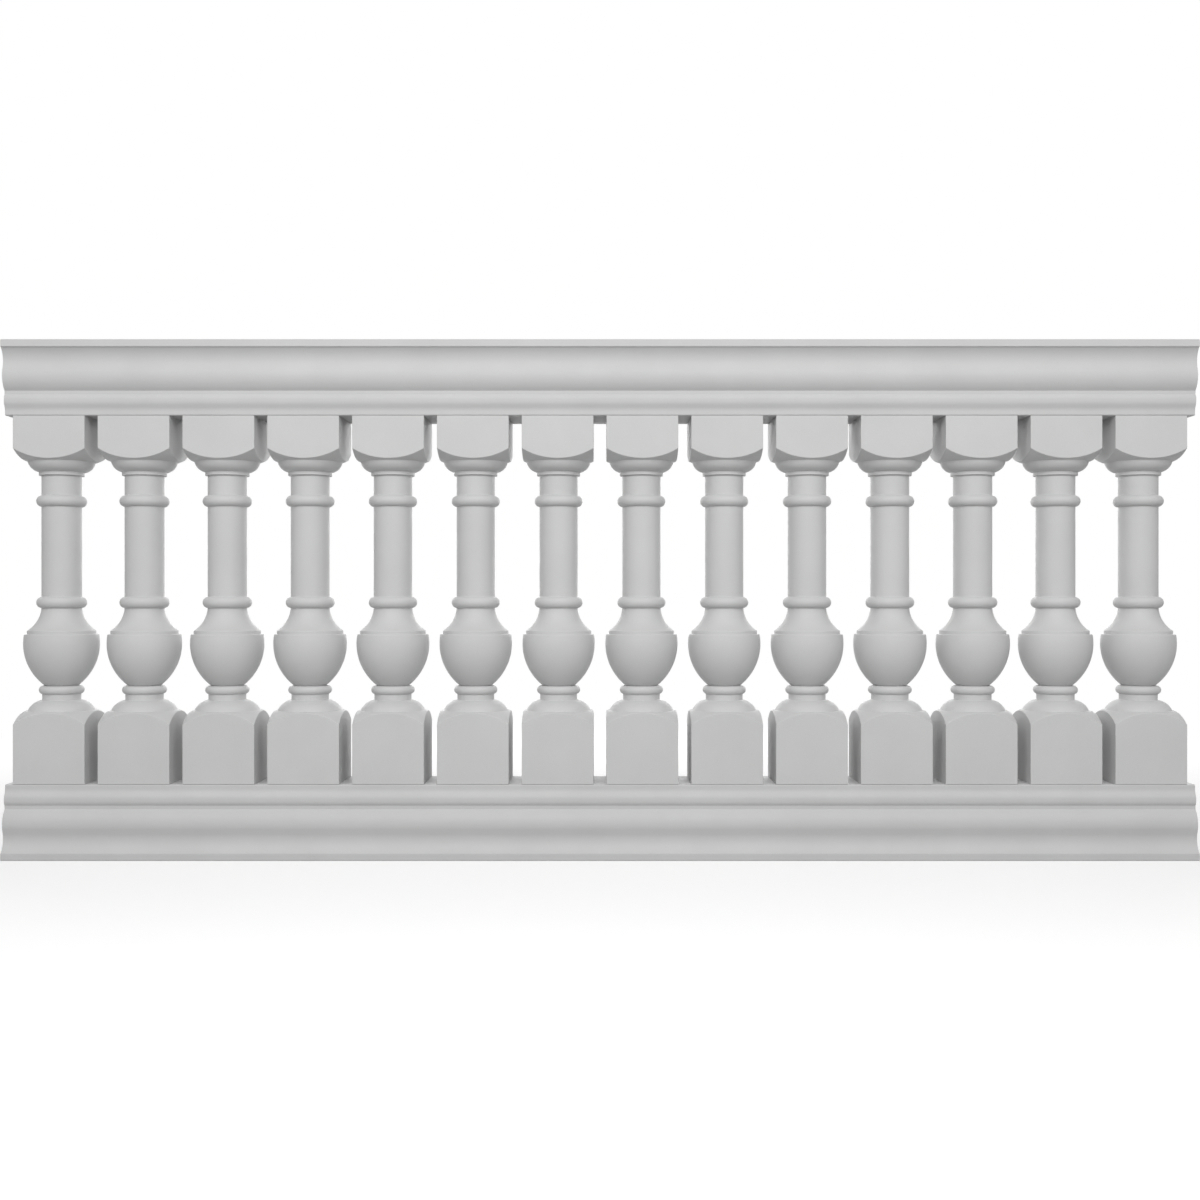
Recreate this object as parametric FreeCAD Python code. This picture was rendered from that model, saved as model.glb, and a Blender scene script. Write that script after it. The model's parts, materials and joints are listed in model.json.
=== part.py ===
# Deck railing section: two moulded rails with a row of turned balusters between them.
#
# Each baluster is moulded round a steel pipe. The pipe stands out of both end blocks and sits in
# blind sockets in the rails, so the blocks close flush against the rails' seats. Both rails have
# the same section: the top rail lies seat down and the bottom rail seat up.
#
# Millimetres, +Z up, X along the rails, -Y towards the viewer. The origin is on the floor, under
# the middle of the section.
import FreeCAD
import Part

import os

# Whole section. The end space is from the end of a rail to the axis of the nearest baluster.
RAIL_LENGTH = 2438.4
BALUSTER_COUNT = 14
END_SPACE = 89.5
BALUSTER_HEIGHT = 756.0

# The seat is the narrow face of a rail. The balusters' square blocks are as wide as the seat.
SEAT_WIDTH = 147.0

# Rail section, from the seat to the cap. A rise is measured from the member before it, and a
# reach outwards from the edge of the seat.
RAIL_HEIGHT = 152.4
SEAT_EDGE_ROUND = 3.0
SEAT_BAND_HEIGHT = 8.0
BEAD_RISE = 22.0
BEAD_REACH = 6.2
QUIRK_RISE = 16.4
QUIRK_REACH = 2.8
QUIRK_ROUND = 3.0
BELLY_RISE = 34.2
BELLY_REACH = 15.5
HOLLOW_RISE = 29.1
HOLLOW_REACH = 10.1
CAP_LEDGE = 3.3
CAP_REACH = 24.2
CAP_HEIGHT = 15.6
CAP_ROUND = 2.0

# Baluster, from the floor side up. A bow is how far a curve stands out from its chord, and a
# hollow how far it lies inside its chord. The shaft takes up what height the rest leaves.
BLOCK_EDGE_ROUND = 1.5
FOOT_BLOCK_HEIGHT = 147.2
FOOT_CORNER_DROP = 25.2
FOOT_PAD_RADIUS = 70.8
DOME_RADIUS = 67.0
DOME_HEIGHT = 22.0
DOME_BOW = 4.8
FOOT_NECK_RADIUS = 38.6
FOOT_NECK_HEIGHT = 12.2
FOOT_RING_HEIGHT = 16.5
FOOT_RING_BOW = 10.0
BULB_FOOT_RADIUS = 32.0
BULB_HEIGHT = 108.3
BULB_BOW = 16.2
BULB_TOP_RADIUS = 74.1
VASE_FILLET_RADIUS = 68.4
VASE_FILLET_HEIGHT = 7.5
VASE_COVE_HEIGHT = 47.5
VASE_COVE_HOLLOW = 6.5
SHAFT_RADIUS = 40.1
RING_HEIGHT = 23.3
RING_BOW = 10.3
CAPITAL_NECK_HEIGHT = 41.6
ANNULET_RADIUS = 45.3
ANNULET_HEIGHT = 7.6
OVOLO_HEIGHT = 21.0
OVOLO_RADIUS = 66.9
OVOLO_BOW = 4.6
HEAD_BLOCK_HEIGHT = 89.5
HEAD_CORNER_RISE = 23.0
CORNER_BOW = 2.0

# Steel core: nominal one-inch pipe
PIPE_DIAMETER = 33.4
PIPE_WALL = 3.4
PIPE_REACH = 50.0
PIPE_CHAMFER = 1.5
PIPE_FIT = 0.3
SOCKET_END_GAP = 2.0

# Spare width of the turned blank outside the corners of the square blocks
BLANK_MARGIN = 6.0

Y_AXIS = FreeCAD.Vector(0, 1, 0)
Z_AXIS = FreeCAD.Vector(0, 0, 1)
ORIGIN = FreeCAD.Vector(0, 0, 0)


def at(out, up):
    """Point of an outline: out from the centre line or the axis, and up."""
    return FreeCAD.Vector(0, out, up)


def line(start, end):
    return Part.LineSegment(start, end).toShape()


def bowed(start, end, bow):
    """Arc of a rising outline whose middle stands out from its chord by bow, or in where negative."""
    chord = end - start
    outwards = at(chord.z, -chord.y).normalize()
    middle = (start + end) * 0.5 + outwards * bow
    return Part.Arc(start, middle, end).toShape()


def upright_arc(upright, other):
    """Arc that runs straight up or down at one end, and meets the other end at any slope."""
    step = other - upright
    radius = (step.y ** 2 + step.z ** 2) / (2 * step.y)
    centre = upright + at(radius, 0)
    towards = ((upright - centre) + (other - centre)).normalize()
    middle = centre + towards * abs(radius)
    return Part.Arc(upright, middle, other).toShape()


def ogee(start, end):
    """Two equal arcs, hollow and round, that run upright at both ends."""
    middle = (start + end) * 0.5
    return [upright_arc(start, middle), upright_arc(end, middle)]


def quarter_round(start, corner, end):
    """Quarter circle that rounds off a square corner."""
    centre = start + end - corner
    towards = (corner - centre).normalize()
    return Part.Arc(start, centre + towards * (start - centre).Length, end).toShape()


def rail_side():
    """Moulded side of a rail, from the edge of the seat up to the edge of the cap."""
    edge = SEAT_WIDTH / 2
    bead_up = SEAT_BAND_HEIGHT + BEAD_RISE
    quirk_up = bead_up + QUIRK_RISE
    belly_up = quirk_up + BELLY_RISE
    hollow_up = belly_up + HOLLOW_RISE
    cap_up = RAIL_HEIGHT - CAP_HEIGHT
    band_top = at(edge, SEAT_BAND_HEIGHT)
    bead = at(edge + BEAD_REACH, bead_up)
    quirk = at(edge + QUIRK_REACH, quirk_up)
    belly = at(edge + BELLY_REACH, belly_up)
    hollow = at(edge + HOLLOW_REACH, hollow_up)
    cap_edge = edge + CAP_REACH
    ledge = at(cap_edge - CAP_LEDGE, cap_up)
    seat_in = at(edge - SEAT_EDGE_ROUND, 0)
    seat_up = at(edge, SEAT_EDGE_ROUND)
    low_in = at(cap_edge - CAP_ROUND, cap_up)
    low_up = at(cap_edge, cap_up + CAP_ROUND)
    high_up = at(cap_edge, RAIL_HEIGHT - CAP_ROUND)
    high_in = at(cap_edge - CAP_ROUND, RAIL_HEIGHT)
    return [
        quarter_round(seat_in, at(edge, 0), seat_up),
        line(seat_up, band_top),
        *ogee(band_top, bead),
        upright_arc(bead, quirk),
        upright_arc(belly, quirk),
        *ogee(belly, hollow),
        upright_arc(hollow, ledge),
        line(ledge, low_in),
        quarter_round(low_in, at(cap_edge, cap_up), low_up),
        line(low_up, high_up),
        quarter_round(high_up, at(cap_edge, RAIL_HEIGHT), high_in),
    ]


def rail_bar():
    """Plain length of rail with its seat down at height zero."""
    side = rail_side()
    other_side = [edge.mirror(ORIGIN, Y_AXIS) for edge in side]
    seat_half = SEAT_WIDTH / 2 - SEAT_EDGE_ROUND
    cap_half = SEAT_WIDTH / 2 + CAP_REACH - CAP_ROUND
    seat = line(at(-seat_half, 0), at(seat_half, 0))
    cap = line(at(-cap_half, RAIL_HEIGHT), at(cap_half, RAIL_HEIGHT))
    outline = Part.Wire(Part.__sortEdges__(side + other_side + [seat, cap]))
    bar = Part.Face(outline).extrude(FreeCAD.Vector(RAIL_LENGTH, 0, 0))
    bar.translate(FreeCAD.Vector(-RAIL_LENGTH / 2, 0, 0))
    quirk_out = SEAT_WIDTH / 2 + QUIRK_REACH
    quirk_up = SEAT_BAND_HEIGHT + BEAD_RISE + QUIRK_RISE
    quirks = [edge for edge in bar.Edges if lies_along(edge, quirk_out, quirk_up)]
    return bar.makeFillet(QUIRK_ROUND, quirks)


def lies_along(edge, out, up):
    """True for a long edge of the rail at this distance out on either side and at this height."""
    tolerance = 0.01
    middle = edge.CenterOfMass
    long_enough = edge.Length > RAIL_LENGTH - tolerance
    return long_enough and abs(abs(middle.y) - out) < tolerance and abs(middle.z - up) < tolerance


def baluster_places():
    """Places of the balusters along the rail, evenly spread between the two end spaces."""
    pitch = (RAIL_LENGTH - 2 * END_SPACE) / (BALUSTER_COUNT - 1)
    first = END_SPACE - RAIL_LENGTH / 2
    return [first + pitch * number for number in range(BALUSTER_COUNT)]


def rail():
    """Rail with its seat down, and a blind socket in the seat for each pipe."""
    radius = PIPE_DIAMETER / 2 + PIPE_FIT
    depth = PIPE_REACH + SOCKET_END_GAP
    sockets = [
        Part.makeCylinder(radius, depth, FreeCAD.Vector(place, 0, 0))
        for place in baluster_places()
    ]
    return rail_bar().cut(sockets)


def corner_radius():
    """Distance from the axis to the corner of a square block."""
    return at(SEAT_WIDTH / 2, SEAT_WIDTH / 2).Length


def turned_blank():
    """The whole baluster as it would come off a lathe, with round blocks at both ends."""
    corner = corner_radius()
    blank = corner + BLANK_MARGIN
    foot_top = FOOT_BLOCK_HEIGHT
    dome_top = foot_top + DOME_HEIGHT
    neck_top = dome_top + FOOT_NECK_HEIGHT
    foot_ring_top = neck_top + FOOT_RING_HEIGHT
    bulb_top = foot_ring_top + BULB_HEIGHT
    fillet_top = bulb_top + VASE_FILLET_HEIGHT
    cove_top = fillet_top + VASE_COVE_HEIGHT
    low_ring_top = cove_top + RING_HEIGHT
    head_up = BALUSTER_HEIGHT - HEAD_BLOCK_HEIGHT
    annulet_top = head_up - OVOLO_HEIGHT
    annulet_up = annulet_top - ANNULET_HEIGHT
    high_ring_top = annulet_up - CAPITAL_NECK_HEIGHT
    shaft_top = high_ring_top - RING_HEIGHT
    foot_corner = at(corner, foot_top - FOOT_CORNER_DROP)
    head_corner = at(corner, head_up + HEAD_CORNER_RISE)
    outline = [
        line(at(0, 0), at(blank, 0)),
        line(at(blank, 0), at(blank, foot_corner.z)),
        line(at(blank, foot_corner.z), foot_corner),
        bowed(foot_corner, at(FOOT_PAD_RADIUS, foot_top), CORNER_BOW),
        line(at(FOOT_PAD_RADIUS, foot_top), at(DOME_RADIUS, foot_top)),
        bowed(at(DOME_RADIUS, foot_top), at(FOOT_NECK_RADIUS, dome_top), DOME_BOW),
        line(at(FOOT_NECK_RADIUS, dome_top), at(FOOT_NECK_RADIUS, neck_top)),
        bowed(at(FOOT_NECK_RADIUS, neck_top), at(BULB_FOOT_RADIUS, foot_ring_top), FOOT_RING_BOW),
        bowed(at(BULB_FOOT_RADIUS, foot_ring_top), at(BULB_TOP_RADIUS, bulb_top), BULB_BOW),
        line(at(BULB_TOP_RADIUS, bulb_top), at(VASE_FILLET_RADIUS, bulb_top)),
        line(at(VASE_FILLET_RADIUS, bulb_top), at(VASE_FILLET_RADIUS, fillet_top)),
        bowed(at(VASE_FILLET_RADIUS, fillet_top), at(SHAFT_RADIUS, cove_top), -VASE_COVE_HOLLOW),
        bowed(at(SHAFT_RADIUS, cove_top), at(SHAFT_RADIUS, low_ring_top), RING_BOW),
        line(at(SHAFT_RADIUS, low_ring_top), at(SHAFT_RADIUS, shaft_top)),
        bowed(at(SHAFT_RADIUS, shaft_top), at(SHAFT_RADIUS, high_ring_top), RING_BOW),
        line(at(SHAFT_RADIUS, high_ring_top), at(SHAFT_RADIUS, annulet_up)),
        line(at(SHAFT_RADIUS, annulet_up), at(ANNULET_RADIUS, annulet_up)),
        line(at(ANNULET_RADIUS, annulet_up), at(ANNULET_RADIUS, annulet_top)),
        bowed(at(ANNULET_RADIUS, annulet_top), at(OVOLO_RADIUS, head_up), OVOLO_BOW),
        bowed(at(OVOLO_RADIUS, head_up), head_corner, CORNER_BOW),
        line(head_corner, at(blank, head_corner.z)),
        line(at(blank, head_corner.z), at(blank, BALUSTER_HEIGHT)),
        line(at(blank, BALUSTER_HEIGHT), at(0, BALUSTER_HEIGHT)),
        line(at(0, BALUSTER_HEIGHT), at(0, 0)),
    ]
    return Part.Face(Part.Wire(outline)).revolve(ORIGIN, Z_AXIS, 360)


def square_block(low, high):
    """Square block on the axis between two heights, with its upright edges rounded."""
    corner = FreeCAD.Vector(-SEAT_WIDTH / 2, -SEAT_WIDTH / 2, low)
    block = Part.makeBox(SEAT_WIDTH, SEAT_WIDTH, high - low, corner)
    upright = [edge for edge in block.Edges if round(abs(edge.Curve.Direction.z)) == 1]
    return block.makeFillet(BLOCK_EDGE_ROUND, upright)


def baluster():
    """Turned baluster with its two ends squared off and a bore for the pipe, standing at zero."""
    foot_up = FOOT_BLOCK_HEIGHT + DOME_HEIGHT + FOOT_NECK_HEIGHT / 2
    head_down = BALUSTER_HEIGHT - HEAD_BLOCK_HEIGHT - OVOLO_HEIGHT - ANNULET_HEIGHT
    neck_middle = head_down - CAPITAL_NECK_HEIGHT / 2
    middle = Part.makeCylinder(
        corner_radius() + BLANK_MARGIN, neck_middle - foot_up, FreeCAD.Vector(0, 0, foot_up)
    )
    envelope = square_block(0, foot_up).fuse([middle, square_block(neck_middle, BALUSTER_HEIGHT)])
    bore = Part.makeCylinder(PIPE_DIAMETER / 2 + PIPE_FIT, BALUSTER_HEIGHT)
    return turned_blank().common(envelope).cut(bore).removeSplitter()


def core_pipe():
    """Steel pipe that runs through a baluster and stands out at both ends."""
    length = BALUSTER_HEIGHT + 2 * PIPE_REACH
    radius = PIPE_DIAMETER / 2
    foot = FreeCAD.Vector(0, 0, -PIPE_REACH)
    bar = Part.makeCylinder(radius, length, foot)
    rims = [edge for edge in bar.Edges if edge.Closed]
    bar = bar.makeChamfer(PIPE_CHAMFER, rims)
    return bar.cut(Part.makeCylinder(radius - PIPE_WALL, length, foot))


def placed(shape, along, up):
    """Copy of a piece moved along the rails and up."""
    copy = shape.copy()
    copy.translate(FreeCAD.Vector(along, 0, up))
    return copy


def railing_section():
    """Every piece of the section by name, standing on the floor."""
    seat_down = rail()
    seat_up = seat_down.mirror(ORIGIN, Z_AXIS)
    pieces = {
        "bottom_rail": placed(seat_up, 0, RAIL_HEIGHT),
        "top_rail": placed(seat_down, 0, RAIL_HEIGHT + BALUSTER_HEIGHT),
    }
    turned = baluster()
    pipe = core_pipe()
    for number, place in enumerate(baluster_places(), start=1):
        pieces[f"baluster_{number:02d}"] = placed(turned, place, RAIL_HEIGHT)
        pieces[f"core_pipe_{number:02d}"] = placed(pipe, place, RAIL_HEIGHT)
    return pieces


os.makedirs("parts", exist_ok=True)
for name, shape in railing_section().items():
    shape.exportStep(f"parts/{name}.step")
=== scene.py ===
# %% [markdown]
# # Deck railing section
# The object is an eight-foot length of balustrade: two moulded rails of the same section, one lying
# seat down and one seat up, and fourteen turned balusters between them. Rails and balusters are
# moulded in dense foam and primed light grey, and a length of steel pipe runs through each baluster
# and into both rails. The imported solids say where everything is. This script gives the pieces their
# smooth mouldings, softened edges and finish, then sets up the floor, light and camera.

# %% Load the solids
import json
import math

import bmesh
import bpy
from mathutils import Matrix, Vector

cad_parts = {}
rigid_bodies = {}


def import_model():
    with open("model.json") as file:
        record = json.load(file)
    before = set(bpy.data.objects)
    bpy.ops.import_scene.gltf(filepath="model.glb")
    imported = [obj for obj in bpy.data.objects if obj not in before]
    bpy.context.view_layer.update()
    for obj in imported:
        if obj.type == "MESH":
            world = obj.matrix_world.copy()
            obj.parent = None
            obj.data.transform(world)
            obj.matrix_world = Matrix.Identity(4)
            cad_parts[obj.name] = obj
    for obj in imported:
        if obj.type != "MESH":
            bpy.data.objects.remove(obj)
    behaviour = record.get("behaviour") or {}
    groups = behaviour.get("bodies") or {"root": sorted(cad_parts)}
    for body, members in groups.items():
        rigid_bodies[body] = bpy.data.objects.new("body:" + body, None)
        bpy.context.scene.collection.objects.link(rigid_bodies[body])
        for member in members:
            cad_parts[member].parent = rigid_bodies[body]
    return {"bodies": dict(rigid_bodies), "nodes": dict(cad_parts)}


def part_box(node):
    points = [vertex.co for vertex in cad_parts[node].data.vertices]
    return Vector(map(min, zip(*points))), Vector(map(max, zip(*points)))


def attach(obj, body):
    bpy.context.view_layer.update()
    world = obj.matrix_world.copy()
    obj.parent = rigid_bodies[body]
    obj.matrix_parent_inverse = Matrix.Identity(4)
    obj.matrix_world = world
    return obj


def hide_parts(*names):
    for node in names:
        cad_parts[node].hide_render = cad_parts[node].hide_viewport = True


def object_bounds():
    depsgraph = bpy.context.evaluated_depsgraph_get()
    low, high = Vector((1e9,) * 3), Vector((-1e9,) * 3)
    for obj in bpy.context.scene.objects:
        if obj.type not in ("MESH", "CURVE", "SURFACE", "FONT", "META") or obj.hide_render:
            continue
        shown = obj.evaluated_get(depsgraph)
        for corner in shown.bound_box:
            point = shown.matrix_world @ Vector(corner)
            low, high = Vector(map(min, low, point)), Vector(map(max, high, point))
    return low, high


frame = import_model()
cad_box = [list(corner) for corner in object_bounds()]
body_name = next(iter(frame["bodies"]))
print("solids:", len(frame["nodes"]), "on body", body_name, "from", cad_box[0], "to", cad_box[1])

# %% [markdown]
# ## A pen for mouldings
# A moulding is a row of straight fillets and arcs: beads, hollows, quirks and coves. It could be a
# Bezier curve or a long list of points, but then nobody could see or change its members. Here a pen
# draws one member after another with two operators: a straight edge is a vertex extruded to a new
# place, and an arc is that vertex spun about a centre. An arc is given by its bow, which is how far
# its middle stands out from its chord, because a bow can be measured on a picture with a ruler.

# %% The pen
MM = 0.001
X_AXIS = Vector((1, 0, 0))
QUARTER_TURN = math.radians(90)
ARC_TURN = math.radians(8)
ARC_LENGTH = 6 * MM
SAMPLE_HEIGHT = 20 * MM


class Pen:
    """Draws an outline in the plane X = 0, where out is along Y and up is along Z."""

    def __init__(self, mesh, out, up):
        self.mesh = mesh
        self.tip = mesh.verts.new((0, out, up))

    def line(self, out, up, parts=1):
        """Straight run to a point, in equal parts."""
        start = self.tip.co.copy()
        end = Vector((0, out, up))
        for part in range(1, parts + 1):
            drawn = bmesh.ops.extrude_vert_indiv(self.mesh, verts=[self.tip])
            self.tip = drawn["verts"][0]
            self.tip.co = start.lerp(end, part / parts)

    def arc(self, out, up, bow):
        """Arc to a point. Its middle stands out from the chord by bow, or lies in where negative."""
        chord = Vector((0, out, up)) - self.tip.co
        half = chord.length / 2
        turn = 4 * math.atan(bow / half)
        radius = half / math.sin(turn / 2)
        outwards = Vector((0, chord.z, -chord.y)).normalized()
        centre = self.tip.co + chord / 2 + outwards * (bow - radius)
        steps = math.ceil(max(abs(turn) / ARC_TURN, radius * turn / ARC_LENGTH))
        swept = bmesh.ops.spin(
            self.mesh, geom=[self.tip], cent=centre, axis=X_AXIS, angle=turn, steps=steps
        )
        self.tip = swept["geom_last"][0]

    def upright_bow(self, out, up):
        """Bow of an arc that comes to a point running straight up."""
        step = Vector((out, up)) - self.tip.co.yz
        lean = math.atan2(step.x, step.y)
        return step.length / 2 * math.tan(lean / 2)

    def leave_upright(self, out, up):
        """Arc to a point that starts straight up."""
        self.arc(out, up, -self.upright_bow(out, up))

    def arrive_upright(self, out, up):
        """Arc to a point that ends straight up."""
        self.arc(out, up, self.upright_bow(out, up))

    def ogee(self, out, up):
        """Two equal arcs, hollow and round, that run upright at both ends."""
        middle = (self.tip.co.yz + Vector((out, up))) / 2
        self.leave_upright(*middle)
        self.arrive_upright(out, up)

    def quarter_round(self, out, up):
        """Arc to a point that turns by a right angle."""
        reach = (Vector((out, up)) - self.tip.co.yz).length
        self.arc(out, up, reach / 2 * math.tan(QUARTER_TURN / 4))


sample = bmesh.new()
Pen(sample, 0, 0).arc(0, SAMPLE_HEIGHT, SAMPLE_HEIGHT / 2)
print("points on a half round", SAMPLE_HEIGHT, "m high:", len(sample.verts))
sample.free()

# %% [markdown]
# ## From outline to piece
# Moulded foam under primer has no knife edges: every arris and every inner corner is softened by
# about a millimetre. A Bevel modifier could do that, but it would also catch the shallow steps of
# the arcs, so the bevel is an operator on just those edges that turn sharply. Smooth shading with
# area-weighted normals then keeps flats flat right up to the softened edges.

# %% Soften and finish
SHARP_TURN = math.radians(25)
ARRIS_WIDTH = 0.8 * MM
ARRIS_SEGMENTS = 3


def soften(mesh):
    """Bevel every edge where the surface turns sharply."""
    sharp = [edge for edge in mesh.edges if edge.calc_face_angle(0) > SHARP_TURN]
    bmesh.ops.bevel(
        mesh, geom=sharp, offset=ARRIS_WIDTH, affect="EDGES", segments=ARRIS_SEGMENTS, profile=0.5,
        material=-1,
    )
    return len(sharp)


def piece_from(data, name, node):
    """A finished piece that stands for a solid and rides with its body."""
    piece = bpy.data.objects.new(name, data)
    bpy.context.collection.objects.link(piece)
    normals = piece.modifiers.new("Flat flats", "WEIGHTED_NORMAL")
    normals.keep_sharp = True
    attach(piece, body_name)
    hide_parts(node)
    return piece


def mesh_data(mesh, name):
    """Turn a shaped bmesh into smooth mesh data, with its faces pointing outwards."""
    bmesh.ops.recalc_face_normals(mesh, faces=mesh.faces)
    for face in mesh.faces:
        face.smooth = True
    data = bpy.data.meshes.new(name)
    mesh.to_mesh(data)
    mesh.free()
    return data


print("softened by", ARRIS_WIDTH, "m where it turns over", round(math.degrees(SHARP_TURN)), "degrees")

# %% [markdown]
# ## The rail's section
# From the narrow seat outwards and up, the real rail has a small band, a low bead, a quirk, a round
# belly that runs into a hollow, and a flat cap. Half of that is drawn from the middle of the seat to
# the middle of the cap and mirrored, which keeps both sides true to one another. The quirk is a
# narrow upright strip between bead and belly. Both turn in to it, so it keeps a dark line.

# %% Draw the section
SEAT_HALF = 73.5 * MM
SEAT_ROUND = 3 * MM
SEAT_BAND = 8 * MM
BEAD_RISE = 22 * MM
BEAD_REACH = 6.2 * MM
BEAD_FLAT = 3.5 * MM
QUIRK_RISE = 9.3 * MM
QUIRK_REACH = 2.5 * MM
QUIRK_HEIGHT = 7.7 * MM
BELLY_RISE = 30.1 * MM
BELLY_REACH = 15.5 * MM
HOLLOW_RISE = 29.1 * MM
HOLLOW_REACH = 10.1 * MM
CAP_LEDGE = 2.6 * MM
CAP_HEIGHT = 15.6 * MM
CAP_ROUND = 2 * MM

rail_low, rail_high = (Vector(corner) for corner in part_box("top_rail"))
rail_size = rail_high - rail_low
print("rail length, depth and height:", tuple(rail_size))


def draw_half_section(mesh):
    """Half of the rail's outline, seat down at height zero."""
    bead_up = SEAT_BAND + BEAD_RISE
    bead_top = bead_up + BEAD_FLAT
    quirk_up = bead_top + QUIRK_RISE
    quirk_top = quirk_up + QUIRK_HEIGHT
    belly_up = quirk_top + BELLY_RISE
    cap_up = rail_size.z - CAP_HEIGHT
    cap_out = rail_size.y / 2
    pen = Pen(mesh, 0, 0)
    pen.line(SEAT_HALF - SEAT_ROUND, 0)
    pen.quarter_round(SEAT_HALF, SEAT_ROUND)
    pen.line(SEAT_HALF, SEAT_BAND)
    pen.ogee(SEAT_HALF + BEAD_REACH, bead_up)
    pen.line(SEAT_HALF + BEAD_REACH, bead_top)
    pen.leave_upright(SEAT_HALF + QUIRK_REACH, quirk_up)
    pen.line(SEAT_HALF + QUIRK_REACH, quirk_top)
    pen.arrive_upright(SEAT_HALF + BELLY_REACH, belly_up)
    pen.ogee(SEAT_HALF + HOLLOW_REACH, belly_up + HOLLOW_RISE)
    pen.leave_upright(cap_out - CAP_LEDGE, cap_up)
    pen.line(cap_out - CAP_ROUND, cap_up)
    pen.quarter_round(cap_out, cap_up + CAP_ROUND)
    pen.line(cap_out, rail_size.z - CAP_ROUND)
    pen.quarter_round(cap_out - CAP_ROUND, rail_size.z)
    pen.line(0, rail_size.z)


# %% [markdown]
# ## Sockets for the pipes
# Every pipe end sits in a blind socket in the seat of a rail. A Boolean with fourteen cylinders would
# cut them, but it leaves long thin faces all along the seat. Here the bar is divided half-way between
# the balusters, so that each has a bay of the seat to itself. In each bay the seat's face is taken
# out, filled again round a ring, and the ring is extruded into the rail and closed.

# %% Sink the sockets
TINY = 0.01 * MM
PIPE_HOLE = 17 * MM
SOCKET_DEPTH = 52 * MM
SOCKET_STEPS = 48

baluster_nodes = sorted(name for name in frame["nodes"] if name.startswith("baluster_"))
stands = []
for node in baluster_nodes:
    low, high = (Vector(corner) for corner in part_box(node))
    stands.append(Vector(((low.x + high.x) / 2, (low.y + high.y) / 2, low.z)))
print("stands for balusters:", len(stands), "from", stands[0].x, "to", stands[-1].x)


def divide_bays(mesh):
    """Cut the bar's faces half-way between each two balusters."""
    for left, right in zip(stands, stands[1:]):
        whole = mesh.verts[:] + mesh.edges[:] + mesh.faces[:]
        bmesh.ops.bisect_plane(mesh, geom=whole, plane_co=(left + right) / 2, plane_no=X_AXIS)


def sink_socket(mesh, along):
    """A blind hole in the seat, which is at height zero, at a place along the bar."""
    bay = []
    for face in mesh.faces:
        places = [vertex.co.x for vertex in face.verts]
        if max(vertex.co.z for vertex in face.verts) < TINY and min(places) < along < max(places):
            bay.append(face)
    bmesh.ops.delete(mesh, geom=bay, context="FACES")
    border = [edge for edge in mesh.edges if edge.is_boundary]
    centre = Matrix.Translation(X_AXIS * along)
    ring = bmesh.ops.create_circle(mesh, segments=SOCKET_STEPS, radius=PIPE_HOLE, matrix=centre)
    rim = list({edge for vertex in ring["verts"] for edge in vertex.link_edges})
    bmesh.ops.triangle_fill(mesh, edges=border + rim, use_beauty=True)
    wall = bmesh.ops.extrude_edge_only(mesh, edges=rim)
    deep = [part for part in wall["geom"] if isinstance(part, bmesh.types.BMVert)]
    bmesh.ops.translate(mesh, verts=deep, vec=(0, 0, SOCKET_DEPTH))
    bmesh.ops.holes_fill(mesh, edges=mesh.edges)


# %% [markdown]
# ## Two rails
# Each rail is one straight casting, so its face is extruded along the whole length and the ends are
# left square, as sawn. Points of the section that lie on a straight stretch, as in the middle of the
# seat and where a hollow turns into a round, are dissolved first, because they would only make thin
# faces at the ends. The bottom rail is the same bar turned over about its length.

# %% Run out the rails
STRAIGHT_TURN = math.radians(0.5)


def rail_mesh():
    """A rail with its seat down at height zero, middled on the length."""
    mesh = bmesh.new()
    draw_half_section(mesh)
    bmesh.ops.mirror(mesh, geom=mesh.verts[:] + mesh.edges[:], axis="Y", merge_dist=TINY)
    bmesh.ops.contextual_create(mesh, geom=mesh.edges[:])
    straight = [vertex for vertex in mesh.verts if vertex.calc_edge_angle() < STRAIGHT_TURN]
    bmesh.ops.dissolve_verts(mesh, verts=straight)
    run = bmesh.ops.extrude_face_region(mesh, geom=mesh.faces[:])
    far_end = [part for part in run["geom"] if isinstance(part, bmesh.types.BMVert)]
    bmesh.ops.translate(mesh, verts=far_end, vec=X_AXIS * rail_size.x)
    bmesh.ops.translate(mesh, verts=mesh.verts, vec=X_AXIS * rail_low.x)
    divide_bays(mesh)
    for stand in stands:
        sink_socket(mesh, stand.x)
    bmesh.ops.recalc_face_normals(mesh, faces=mesh.faces)
    print("dissolved:", len(straight), "softened:", soften(mesh))
    return mesh


top = rail_mesh()
bmesh.ops.translate(top, verts=top.verts, vec=(0, 0, rail_low.z))
top_rail = piece_from(mesh_data(top, "moulded_top_rail"), "moulded_top_rail", "top_rail")

bottom = rail_mesh()
bmesh.ops.rotate(bottom, verts=bottom.verts, matrix=Matrix.Rotation(math.pi, 3, "X"))
bmesh.ops.translate(bottom, verts=bottom.verts, vec=(0, 0, rail_size.z))
bottom_rail = piece_from(mesh_data(bottom, "moulded_bottom_rail"), "moulded_bottom_rail", "bottom_rail")
print("rail faces:", len(top_rail.data.polygons), len(bottom_rail.data.polygons))

# %% [markdown]
# ## The baluster's outline
# The baluster is a vase turning: a dome on the foot block, a short neck and a ring, a swelling bulb
# with a flat rim, a cove up to a second ring, the shaft, a third ring, a neck, a narrow annulet and an
# ovolo under the head block. The pen draws it as a turner reads it, from the foot up, and closes it
# down the bore where the pipe runs. The two sloping shoulders are drawn straight, because the next
# step bends them.

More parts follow.
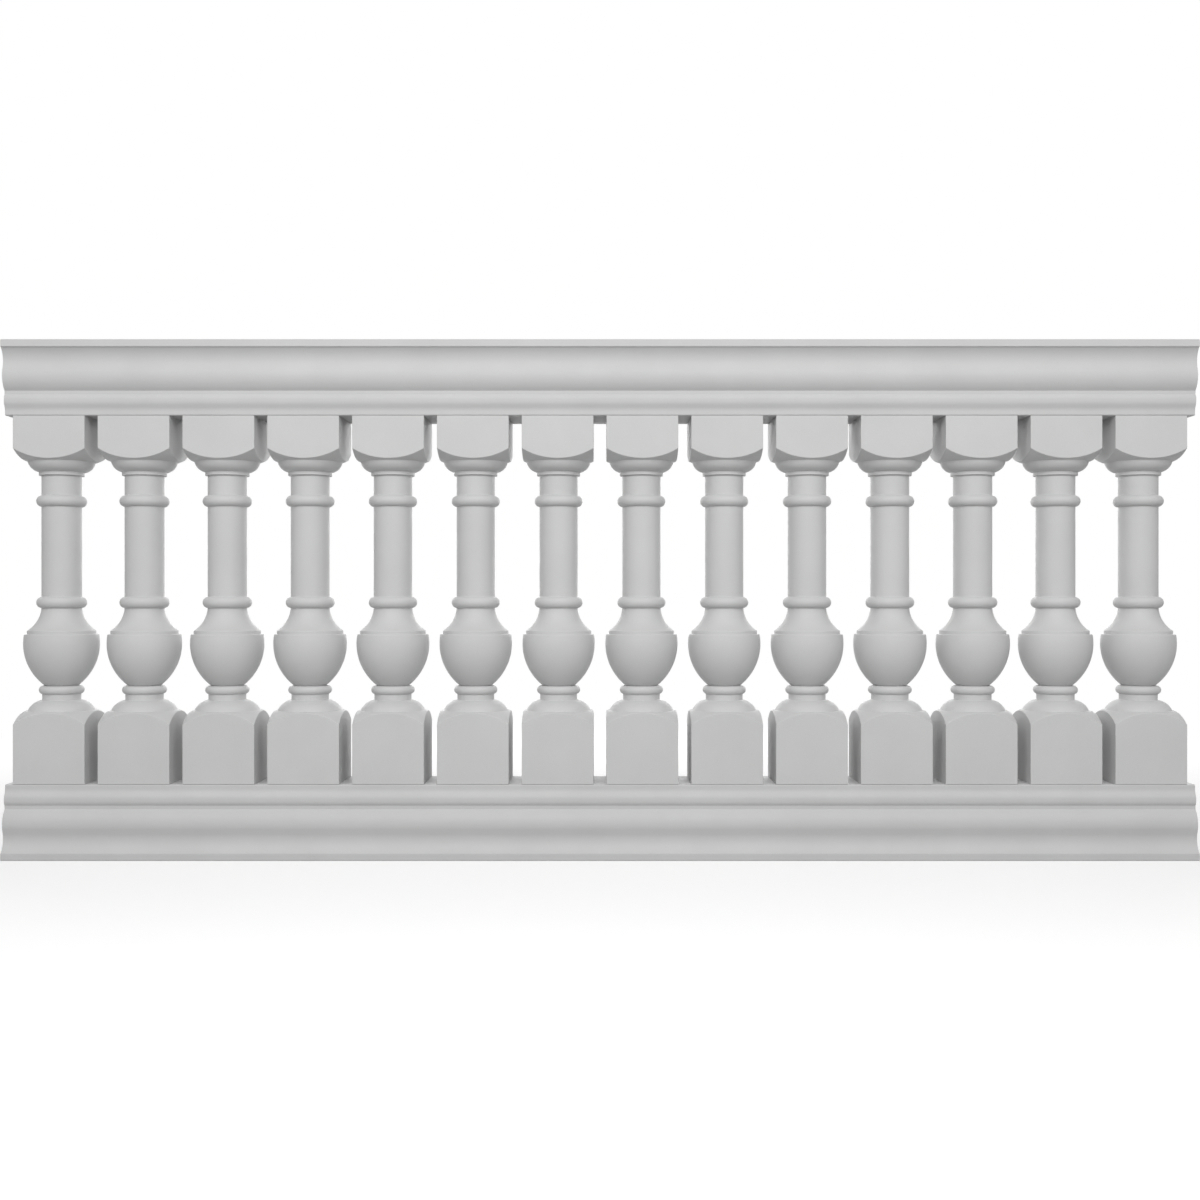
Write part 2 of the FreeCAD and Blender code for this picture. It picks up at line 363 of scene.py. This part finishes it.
# %% Draw the outline
BLOCK_CORNER = SEAT_HALF * math.sqrt(2)
FOOT_BLOCK = 147.2 * MM
FOOT_DROP = 25.2 * MM
FOOT_PAD = 70.8 * MM
DOME_RADIUS = 67 * MM
DOME_HEIGHT = 22 * MM
DOME_BOW = 4.8 * MM
NECK_RADIUS = 38.6 * MM
NECK_HEIGHT = 12.2 * MM
FOOT_RING_HEIGHT = 16.5 * MM
FOOT_RING_BOW = 10 * MM
BULB_FOOT = 32 * MM
BULB_HEIGHT = 108.3 * MM
BULB_BOW = 16.2 * MM
BULB_TOP = 74.1 * MM
RIM_RADIUS = 68.4 * MM
RIM_HEIGHT = 7.5 * MM
COVE_HEIGHT = 47.5 * MM
COVE_HOLLOW = 6.5 * MM
SHAFT_RADIUS = 40.1 * MM
RING_HEIGHT = 23.3 * MM
RING_BOW = 10.3 * MM
CAPITAL_NECK = 41.6 * MM
ANNULET_RADIUS = 45.3 * MM
ANNULET_HEIGHT = 7.6 * MM
OVOLO_HEIGHT = 21 * MM
OVOLO_RADIUS = 66.9 * MM
OVOLO_BOW = 4.6 * MM
HEAD_BLOCK = 89.5 * MM
HEAD_RISE = 23 * MM
SHOULDER_BOW = 2 * MM
SHOULDER_PARTS = 4

baluster_low, baluster_high = (Vector(corner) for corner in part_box("baluster_01"))
baluster_height = baluster_high.z - baluster_low.z
head_up = baluster_height - HEAD_BLOCK
print("baluster height:", baluster_height, "head block from:", head_up)


def draw_baluster(mesh):
    """The baluster's outline from the bore out, up and back, standing at height zero."""
    dome_top = FOOT_BLOCK + DOME_HEIGHT
    neck_top = dome_top + NECK_HEIGHT
    foot_ring_top = neck_top + FOOT_RING_HEIGHT
    bulb_top = foot_ring_top + BULB_HEIGHT
    rim_top = bulb_top + RIM_HEIGHT
    cove_top = rim_top + COVE_HEIGHT
    annulet_top = head_up - OVOLO_HEIGHT
    annulet_up = annulet_top - ANNULET_HEIGHT
    high_ring_top = annulet_up - CAPITAL_NECK
    pen = Pen(mesh, PIPE_HOLE, 0)
    first = pen.tip
    pen.line(BLOCK_CORNER, 0)
    pen.line(BLOCK_CORNER, FOOT_BLOCK - FOOT_DROP)
    pen.line(FOOT_PAD, FOOT_BLOCK, SHOULDER_PARTS)
    pen.line(DOME_RADIUS, FOOT_BLOCK)
    pen.arc(NECK_RADIUS, dome_top, DOME_BOW)
    pen.line(NECK_RADIUS, neck_top)
    pen.arc(BULB_FOOT, foot_ring_top, FOOT_RING_BOW)
    pen.arc(BULB_TOP, bulb_top, BULB_BOW)
    pen.line(RIM_RADIUS, bulb_top)
    pen.line(RIM_RADIUS, rim_top)
    pen.arc(SHAFT_RADIUS, cove_top, -COVE_HOLLOW)
    pen.arc(SHAFT_RADIUS, cove_top + RING_HEIGHT, RING_BOW)
    pen.line(SHAFT_RADIUS, high_ring_top - RING_HEIGHT)
    pen.arc(SHAFT_RADIUS, high_ring_top, RING_BOW)
    pen.line(SHAFT_RADIUS, annulet_up)
    pen.line(ANNULET_RADIUS, annulet_up)
    pen.line(ANNULET_RADIUS, annulet_top)
    pen.arc(OVOLO_RADIUS, head_up, OVOLO_BOW)
    pen.line(BLOCK_CORNER, head_up + HEAD_RISE, SHOULDER_PARTS)
    pen.line(BLOCK_CORNER, baluster_height)
    pen.line(PIPE_HOLE, baluster_height)
    mesh.edges.new((pen.tip, first))


# %% [markdown]
# ## Turned, then squared
# A turner leaves the two ends of the blank square and cuts the sloping shoulder round, and where the
# cone of the shoulder meets the four flat sides it leaves the arched edges that such balusters have.
# Cutting the spun shape with four planes would give those arches with slivers along them. Instead
# the outline is spun with both ends round, and what stands outside the square is drawn in along its
# own radius, while each shoulder keeps the height that the cone has at the new radius. The mesh
# stays clean rings of quads, so its edges can be softened like all the others.

# %% Turn and square
TURN_STEPS = 96


def square_end(mesh, pad, pad_up, corner_up, seat_up):
    """Draw one round end in to a square block, with its shoulder between the pad and the corner."""
    width = BLOCK_CORNER - pad
    fall = corner_up - pad_up
    swell = SHOULDER_BOW * math.hypot(width, fall) / width
    swell = math.copysign(swell, corner_up - seat_up)
    low, high = sorted((pad_up, seat_up))
    for vertex in mesh.verts:
        out = vertex.co.xy.length
        if out < pad - TINY or not low - TINY < vertex.co.z < high + TINY:
            continue
        way = vertex.co.xy / out
        side = SEAT_HALF / max(abs(way.x), abs(way.y))
        squared = pad + (out - pad) / width * (side - pad)
        share = (squared - pad) / width
        vertex.co.xy = way * squared
        if abs(vertex.co.z - seat_up) > TINY:
            vertex.co.z = pad_up + fall * share + 4 * swell * share * (1 - share)


baluster = bmesh.new()
draw_baluster(baluster)
outline_points = len(baluster.verts)
bmesh.ops.spin(
    baluster, geom=baluster.verts[:] + baluster.edges[:], cent=(0, 0, 0), axis=(0, 0, 1),
    angle=math.tau, steps=TURN_STEPS, use_merge=True,
)
bmesh.ops.remove_doubles(baluster, verts=baluster.verts, dist=TINY)
square_end(baluster, FOOT_PAD, FOOT_BLOCK, FOOT_BLOCK - FOOT_DROP, 0)
square_end(baluster, OVOLO_RADIUS, head_up, head_up + HEAD_RISE, baluster_height)
bmesh.ops.recalc_face_normals(baluster, faces=baluster.faces)
print("outline points:", outline_points, "edges softened:", soften(baluster))

# %% [markdown]
# ## Fourteen alike
# All the balusters come out of one mould, so each piece is a copy of the same mesh, moved to the
# place of its own solid. The place goes into the mesh and not into the object, as in the solids.

# %% Stand the balusters
baluster_data = mesh_data(baluster, "turned_baluster")
balusters = []
for node, stand in zip(baluster_nodes, stands):
    data = baluster_data.copy()
    data.transform(Matrix.Translation(stand))
    balusters.append(piece_from(data, f"turned_{node}", node))
bpy.data.meshes.remove(baluster_data)
print("balusters:", len(balusters), "faces each:", len(balusters[0].data.polygons))

# %% [markdown]
# ## Helpers for finishes
# Paint and metal vary a little from place to place. Pictures could be wrapped round the pieces for
# that, but they would need unfolded surfaces and would blur close up. Noise on the object's own
# coordinates needs no unfolding and stays sharp. It keeps near the middle of 0 to 1, so colours and
# roughness take it spread over the range that they need.

# %% Define the helpers
NOISE_LOW = 0.3
NOISE_HIGH = 0.7


def noise(tree, place, waves, detail):
    """Noise over coordinates, with so many waves to each unit of them."""
    texture = tree.nodes.new("ShaderNodeTexNoise")
    texture.inputs["Scale"].default_value = waves
    texture.inputs["Detail"].default_value = detail
    tree.links.new(place, texture.inputs["Vector"])
    return texture.outputs["Fac"]


def spread(tree, value, low, high):
    """Map noise on to a range."""
    ramp = tree.nodes.new("ShaderNodeMapRange")
    ramp.inputs["From Min"].default_value = NOISE_LOW
    ramp.inputs["From Max"].default_value = NOISE_HIGH
    ramp.inputs["To Min"].default_value = low
    ramp.inputs["To Max"].default_value = high
    tree.links.new(value, ramp.inputs["Value"])
    return ramp.outputs["Result"]


def math_node(tree, operation, first, second):
    """One value worked out from two, each a number or another node's output."""
    node = tree.nodes.new("ShaderNodeMath")
    node.operation = operation
    for socket, value in zip(node.inputs, (first, second)):
        if isinstance(value, bpy.types.NodeSocket):
            tree.links.new(value, socket)
        else:
            socket.default_value = value
    return node.outputs["Value"]


print("noise is spread from", NOISE_LOW, "to", NOISE_HIGH)

# %% [markdown]
# ## The primer coat
# The parts are sprayed with a light grey primer. Up close such a coat isn't one flat grey: it lies a
# little thicker in clouds, has a fine speckle, and its skin has the faint dimples of sprayed paint.
# The effect is wanted on rails and balusters alike, so it is a node group that gives out a colour, a
# roughness and a normal. The shader itself stays in each material.

# %% Build the primer group
CLOUD_WAVES = 9.0
CLOUD_DETAIL = 3.0
CLOUD_TONES = (0.975, 1.02)
SPECKLE_WAVES = 700.0
SPECKLE_DETAIL = 2.0
SPECKLE_TONES = (0.985, 1.015)
SHEEN_WAVES = 30.0
SHEEN_DETAIL = 3.0
SHEEN_ROUGHNESS = (0.5, 0.62)
DIMPLE_WAVES = 450.0
SAG_WAVES = 45.0
SAG_SHARE = 3.0
SKIN_DETAIL = 1.0
SKIN_DEPTH = 0.1 * MM


def new_group(name, values, results):
    """An empty shader node group with its sockets."""
    group = bpy.data.node_groups.new(name, "ShaderNodeTree")
    for socket, kind in values:
        group.interface.new_socket(socket, in_out="INPUT", socket_type=kind)
    for socket, kind in results:
        group.interface.new_socket(socket, in_out="OUTPUT", socket_type=kind)
    return group, group.nodes.new("NodeGroupInput"), group.nodes.new("NodeGroupOutput")


def primer_group():
    """Clouds, speckle and sprayed skin of a primer coat."""
    group, given, result = new_group(
        "primer_coat",
        [("Coat", "NodeSocketColor"), ("Skin", "NodeSocketFloat")],
        [
            ("Colour", "NodeSocketColor"),
            ("Roughness", "NodeSocketFloat"),
            ("Normal", "NodeSocketVector"),
        ],
    )
    place = group.nodes.new("ShaderNodeTexCoord").outputs["Object"]
    clouds = spread(group, noise(group, place, CLOUD_WAVES, CLOUD_DETAIL), *CLOUD_TONES)
    speckle = spread(group, noise(group, place, SPECKLE_WAVES, SPECKLE_DETAIL), *SPECKLE_TONES)
    tone = math_node(group, "MULTIPLY", clouds, speckle)
    tint = group.nodes.new("ShaderNodeVectorMath")
    tint.operation = "SCALE"
    group.links.new(given.outputs["Coat"], tint.inputs[0])
    group.links.new(tone, tint.inputs["Scale"])
    group.links.new(tint.outputs["Vector"], result.inputs["Colour"])
    sheen = spread(group, noise(group, place, SHEEN_WAVES, SHEEN_DETAIL), *SHEEN_ROUGHNESS)
    group.links.new(sheen, result.inputs["Roughness"])
    dimples = noise(group, place, DIMPLE_WAVES, SKIN_DETAIL)
    sags = noise(group, place, SAG_WAVES, SKIN_DETAIL)
    height = math_node(group, "ADD", dimples, math_node(group, "MULTIPLY", sags, SAG_SHARE))
    skin = group.nodes.new("ShaderNodeBump")
    skin.inputs["Distance"].default_value = SKIN_DEPTH
    group.links.new(given.outputs["Skin"], skin.inputs["Strength"])
    group.links.new(height, skin.inputs["Height"])
    group.links.new(skin.outputs["Normal"], result.inputs["Normal"])
    return group


primer = primer_group()
print("primer group nodes:", len(primer.nodes))

# %% [markdown]
# ## Painted pieces
# The greys were chosen to match the photograph's front faces under this light. Rails and balusters are
# the same primer, and the rails' grey is a shade darker as painted shade, so that they read as less
# brightly lit. Their long plain faces also get a slightly calmer skin. One material could do for both
# kinds, but then they couldn't differ, so each kind has its own material round the shared group.

# %% Paint rails and balusters
# The rails' grey is the balusters' grey darkened a little as painted shade.
RAIL_GREY_WITH_PAINTED_SHADE = (0.595, 0.595, 0.595, 1.0)
RAIL_SKIN = 0.25
BALUSTER_GREY = (0.62, 0.62, 0.62, 1.0)
BALUSTER_SKIN = 0.35
PRIMER_SPECULAR = 0.35


def primed_material(name, grey, skin):
    """Primer over moulded foam, with its own grey and amount of sprayed skin."""
    material = bpy.data.materials.new(name)
    material.use_nodes = True
    tree = material.node_tree
    shader = tree.nodes["Principled BSDF"]
    shader.inputs["Specular IOR Level"].default_value = PRIMER_SPECULAR
    coat = tree.nodes.new("ShaderNodeGroup")
    coat.node_tree = primer
    coat.inputs["Coat"].default_value = grey
    coat.inputs["Skin"].default_value = skin
    tree.links.new(coat.outputs["Colour"], shader.inputs["Base Color"])
    tree.links.new(coat.outputs["Roughness"], shader.inputs["Roughness"])
    tree.links.new(coat.outputs["Normal"], shader.inputs["Normal"])
    return material


rails = (top_rail, bottom_rail)
# The rails' material carries the darker grey, which is painted shade.
rail_primer = primed_material("primed_rail_with_painted_shade", RAIL_GREY_WITH_PAINTED_SHADE, RAIL_SKIN)
baluster_primer = primed_material("primed_baluster", BALUSTER_GREY, BALUSTER_SKIN)
for rail in rails:
    rail.data.materials.append(rail_primer)
for turned in balusters:
    turned.data.materials.append(baluster_primer)
print("painted rails:", len(rails), "balusters:", len(balusters))

# %% [markdown]
# ## Pipe steel
# The cores are plain steel pipe, drawn lengthwise, so the shine is broken by fine streaks up and
# down. Their solids are right as they are and only get this metal. A wave texture could draw the
# streaks, but too evenly, so noise is used that has many waves across the pipe and few along it.

# %% Give the pipes their metal
STREAK_WAVES = Vector((900.0, 900.0, 6.0))
STREAK_DETAIL = 3.0
STEEL_DARK = (0.30, 0.29, 0.27, 1.0)
STEEL_LIGHT = (0.52, 0.50, 0.47, 1.0)
STEEL_ROUGHNESS = (0.3, 0.5)


def pipe_steel():
    """Drawn mild steel with lengthwise streaks."""
    material = bpy.data.materials.new("drawn_pipe_steel")
    material.use_nodes = True
    tree = material.node_tree
    shader = tree.nodes["Principled BSDF"]
    shader.inputs["Metallic"].default_value = 1.0
    place = tree.nodes.new("ShaderNodeTexCoord").outputs["Object"]
    stretch = tree.nodes.new("ShaderNodeMapping")
    stretch.inputs["Scale"].default_value = STREAK_WAVES
    tree.links.new(place, stretch.inputs["Vector"])
    streaks = noise(tree, stretch.outputs["Vector"], 1.0, STREAK_DETAIL)
    tree.links.new(spread(tree, streaks, *STEEL_ROUGHNESS), shader.inputs["Roughness"])
    dark_to_light = tree.nodes.new("ShaderNodeMix")
    dark_to_light.data_type = "RGBA"
    dark_to_light.inputs["A"].default_value = STEEL_DARK
    dark_to_light.inputs["B"].default_value = STEEL_LIGHT
    tree.links.new(streaks, dark_to_light.inputs["Factor"])
    tree.links.new(dark_to_light.outputs["Result"], shader.inputs["Base Color"])
    return material


steel = pipe_steel()
pipe_nodes = [node for name, node in frame["nodes"].items() if name.startswith("core_pipe_")]
for pipe in pipe_nodes:
    pipe.data.materials.clear()
    pipe.data.materials.append(steel)
print("pipes:", len(pipe_nodes))

# %% [markdown]
# ## White surround
# The photograph has a plain white ground. A world as bright as that would wash out the mouldings, so
# it has two strengths: it looks white wherever it is seen, straight or in a reflection, and gives
# only an even grey light to the surfaces. The Light Path node tells the two kinds of ray apart.

# %% Set the world
WHITE = (1.0, 1.0, 1.0, 1.0)
WORLD_LIGHT = 0.375


def seen_directly(tree):
    """1 for rays from the camera, in reflections and through glass, and 0 for light between surfaces."""
    path = tree.nodes.new("ShaderNodeLightPath")
    seen = math_node(tree, "MAXIMUM", path.outputs["Is Camera Ray"], path.outputs["Is Glossy Ray"])
    return math_node(tree, "MAXIMUM", seen, path.outputs["Is Transmission Ray"])


def set_world():
    """Even grey light all round, that looks white to the camera."""
    world = bpy.data.worlds.new("studio")
    world.use_nodes = True
    tree = world.node_tree
    background = tree.nodes["Background"]
    background.inputs["Color"].default_value = WHITE
    lifted = math_node(tree, "MULTIPLY", seen_directly(tree), 1.0 - WORLD_LIGHT)
    tree.links.new(math_node(tree, "ADD", lifted, WORLD_LIGHT), background.inputs["Strength"])
    bpy.context.scene.world = world


set_world()
print("world light:", WORLD_LIGHT)

# %% [markdown]
# ## Floor
# The railing stands on a pale floor that keeps its soft shadow. A plain white plane would show grey
# with an edge against the world, so this floor is lifted by a little light of its own where it is
# seen, and farther out it passes into white. Rays that only carry light between surfaces meet a
# duller floor, so the undersides stay as dark as they should.

# %% Lay the floor
FLOOR_REACH = 30.0
FLOOR_NEAR = 1.5
FLOOR_FAR = 3.5
FLOOR_LIFT = 0.31
FLOOR_SEEN = (0.8, 0.8, 0.8, 1.0)
FLOOR_DULL = (0.45, 0.45, 0.45, 1.0)


def near_floor(tree, seen):
    """Matt floor, with a little light of its own where it is seen and duller where it isn't."""
    colour = tree.nodes.new("ShaderNodeMix")
    colour.data_type = "RGBA"
    colour.inputs["A"].default_value = FLOOR_DULL
    colour.inputs["B"].default_value = FLOOR_SEEN
    tree.links.new(seen, colour.inputs["Factor"])
    matt = tree.nodes.new("ShaderNodeBsdfDiffuse")
    tree.links.new(colour.outputs["Result"], matt.inputs["Color"])
    lift = tree.nodes.new("ShaderNodeEmission")
    tree.links.new(math_node(tree, "MULTIPLY", seen, FLOOR_LIFT), lift.inputs["Strength"])
    near = tree.nodes.new("ShaderNodeAddShader")
    tree.links.new(matt.outputs["BSDF"], near.inputs[0])
    tree.links.new(lift.outputs["Emission"], near.inputs[1])
    return near.outputs["Shader"]


def far_share(tree):
    """0 near the object, passing into 1 farther out."""
    distance = tree.nodes.new("ShaderNodeVectorMath")
    distance.operation = "LENGTH"
    place = tree.nodes.new("ShaderNodeTexCoord").outputs["Object"]
    tree.links.new(place, distance.inputs[0])
    away = tree.nodes.new("ShaderNodeMapRange")
    away.interpolation_type = "SMOOTHSTEP"
    away.inputs["From Min"].default_value = FLOOR_NEAR
    away.inputs["From Max"].default_value = FLOOR_FAR
    tree.links.new(distance.outputs["Value"], away.inputs["Value"])
    return away.outputs["Result"]


def floor_material():
    """Pale floor that keeps a shadow near the object and passes into white farther out."""
    material = bpy.data.materials.new("pale_floor")
    material.use_nodes = True
    tree = material.node_tree
    tree.nodes.remove(tree.nodes["Principled BSDF"])
    output = tree.nodes["Material Output"]
    seen = seen_directly(tree)
    white = tree.nodes.new("ShaderNodeEmission")
    far = tree.nodes.new("ShaderNodeMixShader")
    tree.links.new(math_node(tree, "MULTIPLY", far_share(tree), seen), far.inputs["Fac"])
    tree.links.new(near_floor(tree, seen), far.inputs[1])
    tree.links.new(white.outputs["Emission"], far.inputs[2])
    tree.links.new(far.outputs["Shader"], output.inputs["Surface"])
    return material


def lay_floor():
    """One large square at height zero."""
    mesh = bmesh.new()
    bmesh.ops.create_grid(mesh, x_segments=1, y_segments=1, size=FLOOR_REACH)
    data = bpy.data.meshes.new("floor")
    mesh.to_mesh(data)
    mesh.free()
    data.materials.append(floor_material())
    floor = bpy.data.objects.new("floor", data)
    bpy.context.collection.objects.link(floor)


lay_floor()
print("floor reaches", FLOOR_REACH, "m and is white from", FLOOR_FAR, "m out")

# %% [markdown]
# ## Light
# The mouldings read because the light is soft, comes from the viewer's side and stands a little
# above: each belly pales towards its top and each quirk keeps a shade. A sun lamp would light every
# height alike, but a big soft panel near the object gives the slow fall from the top rail to the
# bottom rail that the photograph has. A second, lower panel behind the railing lights its back as
# well, and a little of its light comes round the sides of the blocks, which keeps them from going
# black between their neighbours.

# %% Hang the soft panels
PANEL_AIM = Vector((0.0, 0.0, 0.55))
PANEL_HEIGHT = 1.5
FRONT_PLACE = Vector((0.0, -2.9, 2.3))
FRONT_WIDTH = 5.0
FRONT_POWER = 92.0
BACK_PLACE = Vector((0.0, 3.2, 1.2))
BACK_WIDTH = 6.0
BACK_POWER = 80.0


def hang_panel(name, place, width, power):
    """A soft panel that faces the railing and isn't seen itself."""
    light = bpy.data.lights.new(name, "AREA")
    light.shape = "RECTANGLE"
    light.size = width
    light.size_y = PANEL_HEIGHT
    light.energy = power
    panel = bpy.data.objects.new(name, light)
    panel.location = place
    panel.rotation_euler = (PANEL_AIM - place).to_track_quat("-Z", "Y").to_euler()
    panel.visible_camera = False
    bpy.context.collection.objects.link(panel)
    print(name, power, "W at", tuple(place))


hang_panel("front_panel", FRONT_PLACE, FRONT_WIDTH, FRONT_POWER)
hang_panel("back_panel", BACK_PLACE, BACK_WIDTH, BACK_POWER)

# %% [markdown]
# ## Camera
# The photograph looks straight at the middle of the section, level with it, close enough that the
# end balusters show their inner sides. Its field of view and distance follow from how the sides of
# the blocks open towards both ends of the row, with the rails just filling the picture's width. A
# new camera looks straight down, so a quarter turn about X makes it look level.

# %% Place the camera
CAMERA_DISTANCE = 3.041
CAMERA_ANGLE = math.radians(45)

lens = bpy.data.cameras.new("viewer")
lens.angle = CAMERA_ANGLE
viewer = bpy.data.objects.new("viewer", lens)
viewer.location = (0.0, -CAMERA_DISTANCE, (cad_box[0][2] + cad_box[1][2]) / 2)
viewer.rotation_euler = (QUARTER_TURN, 0.0, 0.0)
bpy.context.collection.objects.link(viewer)
bpy.context.scene.camera = viewer
bpy.context.scene.view_settings.view_transform = "Standard"
print("camera height:", viewer.location.z)
